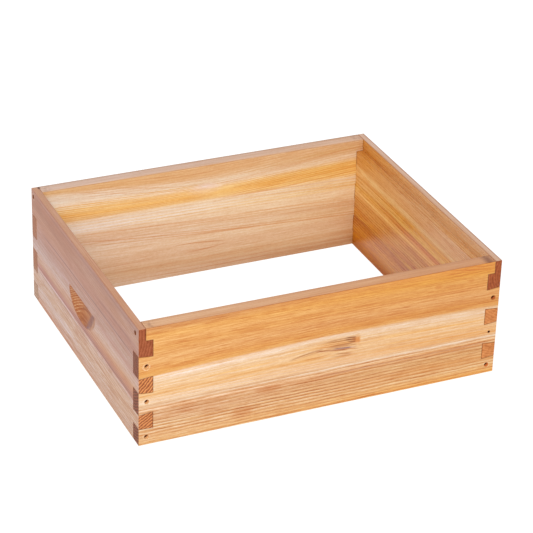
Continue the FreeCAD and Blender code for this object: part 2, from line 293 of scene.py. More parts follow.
# ------------------------------------------------------------------ board data
# Colour bands across each board's width, mm below the top rim, near its two ends.
#BANDS
BANDS = {
    "front": (
        (100.0, [(2, (200, 135, 77)), (12, (221, 161, 85)), (22, (222, 164, 96)), (29, (215, 152, 79)), (44, (223, 169, 106)), 
                 (58, (214, 148, 73)), (63.5, (219, 163, 93)), (66.5, (232, 206, 184)), (75, (225, 191, 154)), (84, (230, 197, 160)), 
                 (94, (223, 177, 122)), (106, (231, 206, 183)), (112, (216, 179, 141)), (117, (225, 184, 146)), (123, (212, 171, 131)), 
                 (130, (209, 162, 122)), (142, (221, 187, 149)), (154, (220, 178, 134)), (166, (220, 176, 124))]),
        (400.0, [(2, (213, 142, 61)), (12, (213, 146, 56)), (22, (212, 150, 76)), (29, (212, 148, 74)), (44, (212, 153, 91)), 
                 (58, (202, 131, 56)), (63.5, (213, 154, 86)), (66.5, (218, 182, 146)), (75, (221, 186, 150)), (84, (225, 184, 137)), 
                 (94, (221, 180, 138)), (106, (219, 165, 106)), (112, (222, 194, 165)), (117, (219, 171, 121)), (123, (216, 166, 112)), 
                 (130, (211, 167, 117)), (142, (209, 151, 91)), (154, (218, 175, 125)), (166, (221, 161, 83))]),
    ),
    "left": (
        (70.0, [(4, (164, 108, 82)), (20, (157, 99, 69)), (36, (170, 115, 87)), (52, (175, 125, 108)), (60, (166, 117, 100)), 
                 (70, (171, 129, 117)), (84, (184, 155, 149)), (92, (187, 148, 132)), (100, (181, 136, 108)), (110, (178, 111, 98)), 
                 (116, (186, 151, 135)), (132, (189, 153, 129)), (148, (191, 162, 148)), (164, (184, 134, 105))]),
        (350.0, [(4, (161, 113, 95)), (20, (172, 126, 103)), (36, (163, 109, 90)), (52, (169, 125, 109)), (60, (173, 136, 120)), 
                 (70, (173, 126, 110)), (84, (192, 160, 144)), (92, (183, 130, 90)), (100, (182, 124, 90)), (110, (170, 110, 86)), 
                 (116, (197, 165, 144)), (132, (188, 146, 113)), (148, (189, 151, 124)), (164, (188, 151, 126))]),
    ),
    "back": (
        (94.0, [(3, (226, 180, 125)), (9, (235, 209, 180)), (17, (237, 218, 195)), (24, (245, 222, 192)), (33, (244, 210, 155)), 
                 (42, (241, 191, 111)), (51, (233, 191, 135)), (58, (233, 211, 190)), (69, (236, 222, 213)), (76, (226, 195, 163)), 
                 (88, (218, 182, 151)), (99, (222, 196, 171)), (112, (221, 191, 163)), (128, (213, 179, 150)), (147, (197, 156, 118)), 
                 (163, (204, 173, 147))]),
        (444.0, [(3, (222, 179, 132)), (9, (222, 181, 128)), (17, (226, 191, 149)), (24, (232, 201, 164)), (33, (238, 193, 115)), 
                 (42, (237, 188, 107)), (51, (242, 202, 129)), (58, (239, 216, 184)), (69, (235, 202, 149)), (76, (239, 214, 178)), 
                 (88, (235, 208, 168)), (99, (221, 183, 141)), (112, (224, 191, 149)), (128, (218, 180, 142)), (147, (209, 171, 129)), 
                 (163, (181, 133, 90))]),
    ),
    # the near-white stop at 9 mm is painted light: it brightens the shade on the rabbet's back wall
    "right": (
        (41.0, [(9, (247, 247, 247)), (21, (208, 143, 66)), (35, (211, 152, 82)), (45, (234, 194, 128)), (52, (221, 168, 93)), 
                 (63, (222, 172, 103)), (70, (223, 170, 75)), (80, (232, 184, 111)), (88, (209, 146, 69)), (99, (209, 148, 72)), 
                 (110, (204, 132, 41)), (118, (198, 133, 45)), (124, (178, 99, 8)), (135, (198, 125, 35)), (150, (190, 111, 1)), 
                 (164, (167, 95, 7))]),
        (212.0, [(9, (247, 247, 247)), (21, (207, 158, 109)), (35, (204, 150, 95)), (45, (207, 161, 103)), (52, (207, 144, 34)), 
                 (63, (209, 158, 69)), (70, (185, 96, 1)), (80, (211, 155, 79)), (88, (179, 106, 24)), (99, (187, 127, 53)), 
                 (110, (168, 89, 7)), (118, (187, 130, 41)), (124, (159, 79, 7)), (135, (178, 112, 34)), (150, (167, 104, 16)), 
                 (164, (136, 61, 7))]),
    ),
}
#END
for name in BANDS:
    if name == "right":
        # the rabbet's back wall keeps its near-white colour down to the ledge, painted light that lifts the shade on
        # that wall; the lip has the board's own
        BANDS[name] = [(u, [stops[0], (14.0, stops[0][1]), (15.4, stops[1][1])] + stops[1:]) for u, stops in BANDS[name]]
    BANDS[name] = [(u, [(d, lin(c)) for d, c in stops]) for u, stops in BANDS[name]]

# u: along the grain, d: below the top rim, w: in from the outer face.
# pith: (d, w) of the tree's centre line for this board, ref: the w at which BANDS holds.
BOARDS = {
    "front": dict(node="front_board", grain="x", ref=0.0, pith=(46.0, 44.0), lean=0.004, ring=4.2, seed=1.0,
                  wave=2.4, phase=0.30, lines=(100.0, 120.0, 1.0, 0.25), fine=(0.34, 0.85), zones=((64.0, 61.0, 0.60), (112.0, 118.0, 0.60)), dash=0.17, gloss=0.38),
    "back": dict(node="back_board", grain="x", ref=T, pith=(127.0, -34.0), lean=0.0, ring=3.4, seed=2.0,
                 wave=3.0, phase=0.1, lines=(70.0, 90.0, 0.10, 0.16), fine=(0.26, 0.50), zones=((60.0, 56.0, 0.30),), dash=0.04, gloss=0.38),
    "left": dict(node="left_end_board", grain="y", ref=0.0, pith=(10.0, -75.0), lean=0.01, ring=3.8, seed=3.0,
                 wave=4.0, phase=0.2, lines=(20.0, 60.0, 0.15, 0.30), fine=(0.85, 1.25), zones=((107.0, 113.0, 0.75),), dash=0.12, gloss=0.40,
                 scoop=((180, 116, 68), (156, 90, 50), (146, 90, 54))),
    "right": dict(node="right_end_board", grain="y", ref=T, pith=(20.0, -34.0), lean=0.008, ring=3.7, seed=4.0,
                  wave=3.0, phase=0.5, lines=(20.0, 50.0, 0.25, 0.35), fine=(0.46, 0.95), zones=((98.0, 104.0, 0.70),), dash=0.13, gloss=0.29,
                  scoop=((180, 116, 68), (156, 90, 50), (146, 90, 54))),
}


# ------------------------------------------------------------------ wood
# End grain: (d, light ring colour, dark ring colour) for each board.
ENDS = {
    "left": [(25, (160, 86, 52), (142, 70, 38)), (55, (164, 88, 54), (140, 66, 36)), (72, (218, 141, 82), (138, 72, 40)), (150, (216, 139, 82), (138, 73, 42))],
    "right": [(25, (160, 82, 42), (140, 66, 32)), (55, (162, 84, 44), (140, 66, 32)), (72, (202, 128, 72), (188, 114, 60)), (150, (202, 128, 72), (188, 114, 60))],
    "front": [(30, (138, 76, 52), (100, 52, 34)), (150, (138, 78, 52), (100, 52, 34))],
    "back": [(30, (184, 126, 98), (126, 78, 54)), (110, (182, 126, 98), (130, 80, 56)), (150, (192, 158, 134), (146, 108, 88))],
}
RIMS = {"front": ((208, 160, 121), (197, 140, 98)), "left": ((189, 139, 108), (189, 134, 99)),
        "back": ((210, 175, 156), (210, 166, 137)), "right": ((203, 166, 143), (201, 161, 134))}
# How the rim's colour changes from the outer to the inner edge.
RIM_ACROSS = {
    "front": [(0.0, (0.97, 0.92, 0.84)), (5.0, (0.98, 0.93, 0.85)), (8.5, (1.0, 1.0, 1.0)), (12.0, (1.0, 1.0, 1.0)),
              (14.5, (0.92, 0.88, 0.88)), (16.5, (0.86, 0.78, 0.72)), (19.0, (0.80, 0.68, 0.60))],
    "left": [(0.0, (0.80, 0.72, 0.68)), (1.6, (1.0, 1.0, 1.0)), (7.5, (1.0, 1.0, 1.0)), (9.5, (0.86, 0.78, 0.72))],
    "back": [(0.0, (0.58, 0.48, 0.42)), (2.5, (0.72, 0.65, 0.60)), (5.0, (0.91, 0.91, 0.91)), (14.0, (0.91, 0.91, 0.91)),
             (17.0, (1.0, 0.97, 0.87)), (19.0, (1.0, 0.97, 0.87))],
    "right": [(0.0, (0.60, 0.45, 0.40)), (1.7, (0.78, 0.63, 0.55)), (3.0, (1.0, 1.0, 1.0)), (6.0, (1.0, 1.0, 1.0)),
              (7.6, (0.95, 0.84, 0.74)), (9.5, (0.76, 0.60, 0.50))],
}

# Marks along the grain: (u0, d0, u1, d1, bow, half width, tint, strength).
DARK, PALE, PURPLE, AMBER = (0.84, 0.59, 0.39), (1.08, 1.22, 1.50), (0.74, 0.60, 0.64), (0.97, 0.83, 0.55)
KNOT = (0.86, 0.56, 0.32)
MARKS = {
    "front": [
        (140, 33.6, 490, 32.6, 0.0, 1.0, DARK, 0.55), (150, 36.0, 470, 35.2, 0.0, 0.7, DARK, 0.35),
        (30, 27.5, 330, 28.5, 0.0, 1.6, DARK, 0.16), (230, 22.0, 500, 24.0, 0.0, 1.4, DARK, 0.16),
        (40, 45.0, 300, 43.0, 0.0, 1.2, DARK, 0.25), (300, 50.0, 500, 52.0, 0.0, 1.4, DARK, 0.3),
        (25, 71.5, 206, 71.0, 0.0, 2.6, PALE, 0.55), (316, 71.0, 500, 71.5, 0.0, 2.4, PALE, 0.6),
        (0, 112.0, 505, 111.0, 0.0, 1.7, PALE, 0.5),
        (70, 84.5, 190, 84.0, 0.0, 1.6, AMBER, 0.9), (110, 91.0, 240, 93.0, 0.0, 2.0, AMBER, 0.8),
        (320, 82.0, 480, 84.0, 0.0, 1.6, AMBER, 0.9), (330, 93.0, 500, 95.0, 0.0, 2.2, AMBER, 0.8),
        (310, 100.5, 500, 101.5, 0.0, 1.2, AMBER, 0.9), (30, 99.0, 180, 99.0, 0.0, 1.4, AMBER, 0.6),
        (10, 122.0, 300, 121.5, 0.0, 1.5, DARK, 0.5), (240, 120.5, 500, 121.0, 0.0, 1.3, PURPLE, 0.8),
        (330, 124.6, 500, 125.0, 0.0, 1.0, PURPLE, 0.7), (430, 0.5, 494, 8.5, 1.2, 1.0, DARK, 1.0),
        (452, 0.0, 498, 5.0, 0.6, 0.9, DARK, 1.0), (415, 3.0, 486, 11.5, 0.8, 0.8, DARK, 0.6),
    ],
    "left": [
        (10, 110.0, 395, 107.8, 0.8, 1.2, (0.46, 0.32, 0.36), 0.9), (160, 106.4, 400, 105.0, 0.0, 0.8, (0.62, 0.36, 0.32), 0.8),
        (30, 113.1, 400, 113.2, 0.6, 1.1, (1.16, 1.45, 1.75), 1.0), (10, 116.4, 395, 115.8, 0.8, 0.9, (0.60, 0.44, 0.40), 0.7),
        (90, 119.8, 395, 118.6, 0.0, 0.8, DARK, 0.7), (20, 105.0, 230, 105.0, 0.0, 2.4, PURPLE, 0.5),
        (40, 51.0, 392, 47.0, -2.0, 1.2, (0.54, 0.40, 0.44), 0.9), (262, 33.0, 400, 31.0, 0.0, 1.8, PURPLE, 0.8),
        (60, 58.0, 300, 56.0, -1.0, 0.8, PURPLE, 0.6), (10, 6.5, 400, 6.5, 0.0, 1.2, PURPLE, 0.8),
        (10, 1.6, 400, 1.6, 0.0, 1.0, DARK, 0.6), (20, 12.0, 200, 14.0, 0.0, 1.2, DARK, 0.4),
        (60, 26.0, 300, 24.0, 0.0, 1.0, DARK, 0.4), (100, 38.0, 380, 40.0, 0.0, 1.2, DARK, 0.4),
        (20, 144.0, 190, 146.5, 0.0, 3.0, PALE, 0.6), (225, 131.0, 400, 131.5, 0.0, 1.0, DARK, 0.8),
        (120, 150.5, 400, 150.0, 0.0, 1.0, DARK, 0.6), (20, 158.0, 400, 157.0, 0.0, 1.1, DARK, 0.6),
        (20, 124.0, 220, 125.0, 0.0, 0.9, DARK, 0.5), (20, 137.0, 260, 138.0, 0.0, 0.9, DARK, 0.5),
        (260, 97.0, 400, 97.0, 0.0, 3.0, AMBER, 0.5), (210, 102.6, 400, 101.6, 0.0, 1.0, (0.74, 0.50, 0.42), 0.6),
        (200, 90.5, 400, 90.0, 0.0, 1.0, PALE, 0.5), (5, 167.0, 405, 167.0, 0.0, 2.2, AMBER, 0.9),
        (5, 164.0, 405, 164.0, 0.0, 1.0, DARK, 0.7),
    ],
    "back": [
        (206, 119.0, 279, 124.0, -1.2, 0.9, (0.80, 0.50, 0.26), 1.0), (222, 132.2, 279, 129.2, 1.2, 0.9, (0.80, 0.50, 0.26), 1.0),
        (275, 124.0, 284, 126.8, -0.4, 1.0, (0.80, 0.50, 0.26), 1.0), (275, 129.4, 284, 126.8, 0.4, 1.0, (0.80, 0.50, 0.26), 1.0),
        (56, 76.0, 482, 90.0, 1.5, 1.0, KNOT, 0.55), (60, 80.5, 300, 90.0, 1.0, 0.7, KNOT, 0.4),
        (70, 88.0, 505, 118.5, 4.0, 1.0, KNOT, 0.8), (150, 91.5, 505, 114.5, 4.0, 0.7, KNOT, 0.55),
        (76, 95.0, 330, 111.0, 1.0, 0.9, KNOT, 0.7), (90, 101.0, 250, 108.5, 0.0, 0.7, KNOT, 0.4),
        (200, 83.5, 505, 97.0, 1.0, 0.7, KNOT, 0.45), (240, 89.0, 505, 104.0, 1.0, 0.7, KNOT, 0.45),
        (40, 33.0, 220, 34.5, 0.0, 0.9, AMBER, 0.9), (60, 29.0, 230, 31.5, 0.0, 0.8, AMBER, 0.9),
        (60, 26.0, 200, 29.0, 0.0, 0.7, AMBER, 0.8), (270, 56.5, 505, 46.0, 1.0, 0.8, KNOT, 0.5),
        (280, 52.0, 505, 38.0, 0.6, 0.8, KNOT, 0.5), (300, 47.0, 505, 30.0, 0.4, 0.7, KNOT, 0.45),
        (260, 53.5, 505, 62.0, -1.5, 0.8, KNOT, 0.4), (300, 60.0, 505, 72.0, -1.0, 0.8, KNOT, 0.4),
        (19, 54.0, 250, 54.0, 0.0, 1.0, PALE, 0.4), (250, 24.5, 505, 9.0, -1.0, 1.4, KNOT, 0.4),
        (60, 6.0, 230, 26.0, 1.0, 0.9, KNOT, 0.5), (110, 4.0, 250, 20.0, 0.6, 0.9, KNOT, 0.4),
        (80, 134.5, 180, 133.0, 0.0, 0.8, KNOT, 0.3), (90, 139.0, 170, 141.0, 0.0, 0.7, KNOT, 0.2),
        (110, 146.0, 500, 143.5, 0.0, 0.9, KNOT, 0.35), (100, 151.0, 480, 147.5, 0.0, 0.8, KNOT, 0.3),
        (100, 157.0, 490, 154.5, 0.0, 0.9, KNOT, 0.35), (200, 162.0, 490, 160.0, 0.0, 1.0, KNOT, 0.25),
        (488, 131.0, 508, 135.0, 0.0, 1.6, KNOT, 1.0),
    ],
    "right": [
        (40, 49.5, 330, 51.0, 0.0, 1.1, DARK, 0.7), (60, 58.5, 330, 59.0, 0.0, 0.8, DARK, 0.4),
        (80, 66.5, 330, 67.5, 0.0, 1.2, DARK, 0.7), (20, 75.0, 200, 72.0, 0.0, 0.9, DARK, 0.45),
        (20, 79.0, 330, 80.0, 0.0, 1.6, PALE, 0.25), (20, 45.0, 330, 45.5, 0.0, 1.6, PALE, 0.3),
        (15, 120.0, 240, 121.5, -1.0, 1.8, DARK, 0.8), (60, 104.0, 260, 102.0, 0.0, 1.0, DARK, 0.3),
        (90, 88.5, 300, 88.0, 0.0, 1.0, DARK, 0.35), (60, 112.0, 260, 111.0, 0.0, 1.0, DARK, 0.35),
        (40, 30.0, 300, 29.0, 0.0, 1.0, DARK, 0.25), (60, 37.0, 360, 38.0, 0.0, 0.9, DARK, 0.25),
    ],
}
# Soft patches: (u, d, half length, half height, tint, strength).
PATCHES = {
    "front": [(176, 124.0, 24, 6.0, DARK, 0.62), (140, 150.0, 18, 17.0, DARK, 0.55), (66, 125.0, 18, 8.0, DARK, 0.45),
              (413, 21.7, 8, 4.5, DARK, 0.6), (461, 21.7, 7, 4.5, DARK, 0.6), (262, 20.0, 30, 7.0, DARK, 0.12),
              (100, 140.0, 26, 9.0, DARK, 0.3), (430, 123.0, 80, 5.0, DARK, 0.35), (240, 123.0, 40, 5.0, DARK, 0.25),
              (284, 94.5, 14, 4.0, DARK, 0.35), (235, 92.0, 30, 9.0, AMBER, 0.6)],
    "left": [(110, 12.0, 110, 12.0, (1.0, 0.92, 0.80), 0.8), (330, 20.0, 60, 10.0, (1.0, 0.92, 0.80), 0.6),
             (181, 128.0, 12, 10.0, DARK, 0.42), (206, 124.0, 26, 6.0, DARK, 0.3), (264, 140.0, 16, 7.0, PALE, 0.4),
             (330, 146.0, 34, 7.0, DARK, 0.15), (190, 157.0, 60, 8.0, DARK, 0.25), (120, 24.0, 60, 10.0, DARK, 0.16),
             (300, 18.0, 60, 8.0, DARK, 0.14)],
    "back": [(250, 150.0, 60, 9.0, DARK, 0.12), (250, 38.0, 30, 11.0, (1.0, 1.10, 1.70), 0.6), (350, 44.0, 30, 9.0, AMBER, 0.5),
             (480, 152.0, 50, 12.0, DARK, 0.2)],
    "right": [(170, 30.0, 20, 6.0, DARK, 0.12), (250, 32.0, 22, 8.0, DARK, 0.15)],
}


# Nail holes on each board's outer face: (u, d, radius, torn fibres, wood inside).
FRESH, AGED, SOILED, DULL = (250, 200, 140), (232, 142, 76), (130, 72, 40), (132, 74, 40)
HOLES = {
    "front": [(10.8, 54.1, 3.2, 0.42, FRESH), (10.8, 105.2, 3.2, 0.4, FRESH), (10.4, 156.8, 3.2, 0.2, FRESH),
              (L - 9.0, 53.9, 3.2, 0.0, AGED), (L - 11.1, 105.2, 1.8, 0.0, SOILED), (L - 10.7, 155.9, 3.2, 0.2, AGED)],
    "back": [(q, p, 3.2, 0.2, FRESH) for q in (10.6, L - 10.6) for p in (54.0, 105.2, 156.4)],
    "left": [(W - 11.8, 10.0, 3.2, 0.0, DULL), (8.0, 10.0, 3.2, 0.3, DULL)],
    "right": [(W - 10.0, 10.0, 3.2, 0.2, FRESH), (10.0, 10.0, 3.2, 0.2, FRESH)],
}

# Close sets of lines: (d from, d to, u from, u to, spacing, slope, tint, strength).
BUNDLES = {
    "front": [(5, 62, -20, 520, 3.6, 0.004, DARK, 0.22), (66, 112, -20, 520, 4.4, 0.004, AMBER, 0.6),
              (120, 168, -20, 520, 5.6, 0.003, AMBER, 0.5)],
    "left": [(6, 108, -20, 430, 3.9, 0.006, DARK, 0.24), (114, 168, -20, 430, 3.2, 0.006, DARK, 0.34)],
    "back": [(26, 53, -20, 250, 3.1, 0.004, (0.92, 0.68, 0.32), 1.0), (30, 56, 290, 520, 3.3, 0.055, (0.90, 0.66, 0.32), 1.0),
             (56, 76, -20, 520, 4.4, -0.012, AMBER, 0.7), (74, 118, -20, 520, 4.3, -0.055, KNOT, 0.22),
             (132, 168, -20, 520, 3.5, 0.006, KNOT, 0.2), (2, 24, 60, 520, 3.8, 0.03, KNOT, 0.35)],
    "right": [(20, 168, -20, 430, 3.3, 0.0, DARK, 0.30)],
}


def wood(key):
    s = BOARDS[key]
    mat, g = new_material("wood_" + key)
    tc = g.node("ShaderNodeTexCoord")
    sep = g.node("ShaderNodeSeparateXYZ")
    g.nt.links.new(tc.outputs["Object"], sep.inputs[0])
    x, y, z = [E(g, o) * 1000.0 for o in sep.outputs]
    geo = g.node("ShaderNodeNewGeometry")
    sn = g.node("ShaderNodeSeparateXYZ")
    g.nt.links.new(geo.outputs["Normal"], sn.inputs[0])
    nx, ny, nz = [g.abs(E(g, o)) for o in sn.outputs]
    d = H - z
    if s["grain"] == "x":
        u, ng = x + L / 2, nx
        w = y + W / 2 if key == "front" else W / 2 - y
    else:
        u, ng = W / 2 - y, ny
        w = x + L / 2 if key == "left" else L / 2 - x
    k = s["seed"] * 37.0

    # slow waves in the grain
    wave = g.noise(u / 190.0 + k, d / 45.0, w / 45.0, 1.0) * s["wave"]
    ripple = g.noise(u / 48.0 + k, d / 9.0, w / 9.0, 2.0) * 1.3
    dd = d
    if key == "front":
        # the sapwood edge bows over a knot
        sag = (u - 300.0) * (u - 300.0) * 8.9e-5 - 1.7
        ku, kd = (u - 250.0) / 62.0, (d - 80.0) / 17.0
        knot = g.step(ku * ku + kd * kd, 1.0, 0.0)
        lift = g.step(g.abs(u - 252.0), 70.0, 0.0) * g.hump(d, 72.0, 26.0)
        dd = d - sag * g.hump(d, 64.0, 60.0) + lift * 1.2
    if key == "back":
        # the tan edge sags in the middle of the board
        dd = d - g.step(g.abs(u - 245.0), 270.0, 0.0) * g.step(d, 58.0, 18.0) * 12.0
    dw = dd + wave * 0.5 + ripple * 0.6

    # rings about the pith line
    d0, w0 = s["pith"]
    wl = w - w0 - (u - 250.0) * s["lean"]
    rr = (dw - d0) * (dw - d0) + wl * wl
    r = g.sqrt(rr) + wave * 0.5 + ripple
    # the band position at the reference face that lies on the same ring
    off = (dw - d0) * (dw - d0) + (w - w0) * (w - w0) - (s["ref"] - w0) ** 2
    e2 = g.max(off, 0.0)
    sign = g.m("SIGN", dw - d0)
    de = sign * g.sqrt(e2) + d0
    blend = g.step(g.abs(w - s["ref"]), 1.0, 6.0)
    de = dw * (1.0 - blend) + de * blend

    (ua, sa), (ub, sb) = BANDS[key]
    t = g.sat((u + wave * 8.0 - ua) / (ub - ua))
    edge = g.noise(u / 26.0, d / 1.3, k, 2.0) * 2.2
    col = g.mix(t, g.ramp(de + edge, sa), g.ramp(de + edge, sb))

    # late wood lines: a slow darkening, then a sharp edge
    ph = g.m("FRACT", r / s["ring"] + s["phase"])
    line = g.step(ph, 0.2, 0.84) * g.step(ph, 1.0, 0.90)
    ph2 = g.m("FRACT", r / (s["ring"] * 0.43) + 0.37)
    line2 = g.step(ph2, 0.3, 0.9) * g.step(ph2, 1.0, 0.92)
    vary = g.sat(g.noise(u / 300.0, r / 6.0, k, 2.0) * 2.4 + 0.6)
    late = line * (vary * 0.75 + 0.25)

    # long streaks and fibres
    broad = g.noise(u / 300.0 + k, r / 6.0, w / 40.0, 2.0)
    streak = g.noise(u / 95.0 + k, dw / 2.3, w / 5.0, 3.0, 0.62)
    thin = g.noise(u / 42.0 + k, dw / 0.95, w / 1.5 + 5.0, 2.0, 0.6)
    fibre = g.noise(u / 11.0 + k, d / 0.62, w / 0.62, 2.0, 0.65)
    fleck = g.noise(u / 2.0 + k, d / 0.85, w / 0.85, 1.0)
    dash = g.step(g.noise(u / 17.0 + k, dw / 0.9, w / 0.9 + 2.0, 1.0), 0.06, 0.24)
    cloud = g.noise(u / 70.0 + k, d / 22.0, w / 22.0 + 3.0, 2.0)
    pore = g.step(g.noise(u / 7.0 + k, d / 0.6, w / 0.6 + 9.0, 1.0), 0.2, 0.3)

    lo, hi, level, base = s["lines"]
    amp = g.step(dd, lo, hi) * level + base
    dark = late * amp
    fs, ft = s["fine"]
    zone = 1.0
    for za, zb, zg in s["zones"]:
        zone = g.step(d, za, zb) * zg + zone
    mottle = g.noise(u / 4.5 + k, d / 2.8, w / 2.8 + 4.0, 1.0)
    tone = 1.0 + broad * 0.08 + mottle * 0.17 + (streak * fs + thin * ft + fibre * (ft * 0.55)) * zone + fleck * 0.24 + cloud * 0.10 \
        - dark * 0.40 - line2 * 0.05 * vary - pore * 0.10 - dash * s["dash"]
    rag = streak * 1.2 + cloud
    # tied to a noise so that each mark is worked out just before it is used
    ul, dl = u + thin * 0.001, d + thin * 0.001
    for (pu, pd, pl, ph_, tint, st) in PATCHES[key]:
        col = g.use(PATCH, col, ul, dl, rag, pu, pd, 1.0 / pl, 1.0 / ph_, st, tint)
    dt = dw + thin * 0.8
    live = streak * 1.5 + 1.0
    for (u0, da, u1, db, bow, hw, tint, st) in MARKS[key]:
        f = 14.0 / (u1 - u0)
        col = g.use(STROKE, col, ul, dt, live * st, u0, 1.0 / (u1 - u0), da, db - da, 4.0 * bow, hw * 1.6,
                    -f, f * 2, 1.0 + f, 1.0 - f * 2, tint)
    dr = dw + ripple * 0.5
    weave = vary * 1.1 + 0.25 + streak * 1.6
    for (da, db, u0, u1, sp, slope, tint, st) in BUNDLES[key]:
        col = g.use(BUNDLE, col, dr, ul, dl, weave * st, slope, 1.0 / sp, da, db,
                    u0 - 30.0, u0 + 30.0, u1 + 30.0, u1 - 30.0, tint)
    tv = g.use(TONE, tone, 0.48, 1.15, 1.95)
    side = g.mix(1.0, col, tv, "MULTIPLY")

    if key == "front":
        side = knot_figure(g, side, ul, dl, streak, thin, knot)

    # scooped hand hold: the cut shows the fresher, warmer wood below
    if s["grain"] == "y":
        mid = W / 2 + (-2.3 if key == "left" else 2.3)
        cu = g.abs(u - mid)
        scoop = g.step(w, 0.15, 0.7) * g.step(w, 14.2, 13.4) * g.step(cu, 54.0, 53.0) \
            * g.step(d, 68.2, 68.8) * g.step(d, 109.0, 108.0)
        far = g.step(u, mid - 12.0, mid - 27.0)
        warm = g.mix(g.sat(line * 0.4 * (1.0 - far) + cloud * 1.6 + 0.3), lin(s["scoop"][0]), lin(s["scoop"][1]))
        rs = g.sqrt(rr) + wave * 0.3 + ripple * 0.25
        thread = g.hump(g.m("FRACT", rs / (s["ring"] * 0.44) + 0.2), 0.5, 0.26)
        warm = g.mix(g.sat(far * (1.0 - thread)) * 0.6, warm, (0.86, 0.68, 0.52), "MULTIPLY")
        warm = g.mix(g.hump(u + (d - 85.0) * 0.9, mid - 9.0, 9.0) * 0.5, warm, (0.80, 0.66, 0.52), "MULTIPLY")
        warm = g.mix(thread * far * 0.7, warm, lin((212, 168, 126)))
        if key == "left":
            pu, pd = (u - 222.5) / 9.5, (d - 94.0) / 11.0
            grey = g.step(pu * pu + pd * pd + streak * 0.8, 1.9, 0.0)
            warm = g.mix(g.sat(grey * (0.68 + thin * 2.0)), warm, lin((118, 78, 86)))
            warm = g.mix(g.step(u, 221.0, 238.0) * 0.6, warm, lin((190, 140, 106)))
        warm = g.mix(g.step(ng, 0.25, 0.75), warm, lin(s["scoop"][2]))
        warm = g.mix(1.0, warm, tv, "MULTIPLY")
        side = g.mix(scoop, side, warm)
    else:
        scoop = None

    # top rim: sawn and sanded edge
    rim = g.step(nz, 0.6, 0.9) * g.step(z, H - 0.9, H - 0.3)
    rcol = g.mix(t, lin(RIMS[key][0]), lin(RIMS[key][1]))
    saw = g.noise(u / 70.0, w / 1.6, k, 2.0, 0.6) * 0.85 + g.noise(u / 4.0, w / 2.0, k + 7.0, 2.0) * 0.25
    rcol = g.mix(1.0, rcol, g.use(TONE, saw + 1.0, 0.6, 1.2, 1.9), "MULTIPLY")
    rcol = g.mix(1.0, rcol, g.ramp(w, RIM_ACROSS[key]), "MULTIPLY")
    # a stain at the corner where the boards meet, and rubbed inner and outer edges
    stain = g.sat(g.noise(x / 5.0, y / 5.0, z / 5.0, 2.0) * 3.0 + 0.35)
    corner_in = g.hump(g.abs(x), L / 2 - 17.0, 11.0) * g.step(g.abs(y), W / 2 - 20.5, W / 2 - 16.0)
    near_right = g.step(x, 0.0, 1.0) * g.step(y, 1.0, 0.0)
    rcol = g.mix(corner_in * g.sat(stain + near_right * 0.7) * (near_right * 0.35 + 0.6), rcol, (0.36, 0.24, 0.24), "MULTIPLY")
    nick = E(g, g.use(DISTANCE, x, y * 0.6, 9.3 - L / 2, (W / 2 - 4.2) * 0.6))
    rcol = g.mix(g.step(nick, 2.6, 1.2) * 0.9, rcol, (0.12, 0.05, 0.04), "MULTIPLY")
    rcol = g.mix(g.step(w, 1.8, 0.6) * 0.35, rcol, (0.80, 0.62, 0.52), "MULTIPLY")
    side = g.mix(rim * 0.92, side, rcol)

    # end grain
    emott = g.noise(u / 14.0, d / 4.0 + k, w / 4.0, 3.0, 0.6)
    er = g.m("FRACT", r / s["ring"] + s["phase"] + emott * 0.9)
    eline = g.step(er, 0.1, 0.8) * g.step(er, 1.0, 0.9)
    speck = g.noise(u / 3.0, d / 0.30, w / 0.30, 2.0, 0.7)
    ray = g.noise(u / 6.0, d / 0.8 + k, w / 0.5, 2.0)
    e_light = g.ramp(d, [(p, lin(a)) for p, a, b in ENDS[key]])
    e_dark = g.ramp(d, [(p, lin(b)) for p, a, b in ENDS[key]])
    ecol = g.mix(eline, e_light, e_dark)
    mott = 1.3 if key == "right" else g.step(d, 62.0, 58.0) * 0.5 + 0.7 if key == "left" else 0.7
    etone = 1.0 + speck * 0.55 + emott * mott + ray * 0.25
    ecol = g.mix(1.0, ecol, g.use(TONE, etone, 0.75, 1.1, 1.5), "MULTIPLY")
    endm = g.step(ng, 0.45, 0.85)
    if scoop is not None:
        endm = endm * (1.0 - scoop)
    col = g.mix(endm, side, ecol)

    # eased edges: rubbed pale on the outside, dark where boards meet
    flat = g.max(g.max(nx, ny), nz)
    ease = g.step(flat, 0.985, 0.94)
    if scoop is not None:
        ease = ease * (1.0 - scoop)
    ax = g.step(g.abs(x), L / 2 - 1.2, L / 2 - 0.7)
    ay = g.step(g.abs(y), W / 2 - 1.2, W / 2 - 0.7)
    az = g.max(g.step(z, H - 1.2, H - 0.7), g.step(z, 1.2, 0.7))
    top = g.step(z, H - 1.2, H - 0.7)
    outer = g.max(ax * ay, az)
    joint = g.step(g.abs(x), L / 2 - T - 1.4, L / 2 - T - 0.7) * g.step(g.abs(y), W / 2 - T - 1.4, W / 2 - T - 0.7)
    outer = g.max(outer, 1.0 - joint)
    rub = g.sat(0.55 + g.noise(x / 9.0, y / 9.0, z / 9.0, 3.0) * 1.6)
    pale = g.max(ax * ay, g.step(z, 1.2, 0.7))
    if key == "left":
        pale = g.max(pale, top)
    col = g.mix(ease * pale * rub * 0.35, col, (1.18, 1.2, 1.22), "MULTIPLY")
    col = g.mix(ease * outer * (1.0 - pale) * 0.75, col, (0.74, 0.56, 0.46), "MULTIPLY")
    col = g.mix(ease * (1.0 - outer) * 0.55, col, (0.45, 0.32, 0.24), "MULTIPLY")

    # nail holes: fresh wood inside, torn pale fibres around the mouth
    flakes = g.sat(g.noise(u / 2.6, d / 2.6, k, 2.0) * 7.0 + 0.5) * g.step(w, 0.5, 0.1)
    inside = g.step(w, 0.05, 0.35) * g.step(w, 8.0, 7.0)
    for (hu, hd, rad, scuff, wall) in HOLES[key]:
        q = E(g, g.use(DISTANCE, ul, dl, hu, hd))
        col = g.mix(g.step(q, rad + 1.1, rad + 0.7) * inside, col, lin(wall))
        if scuff:
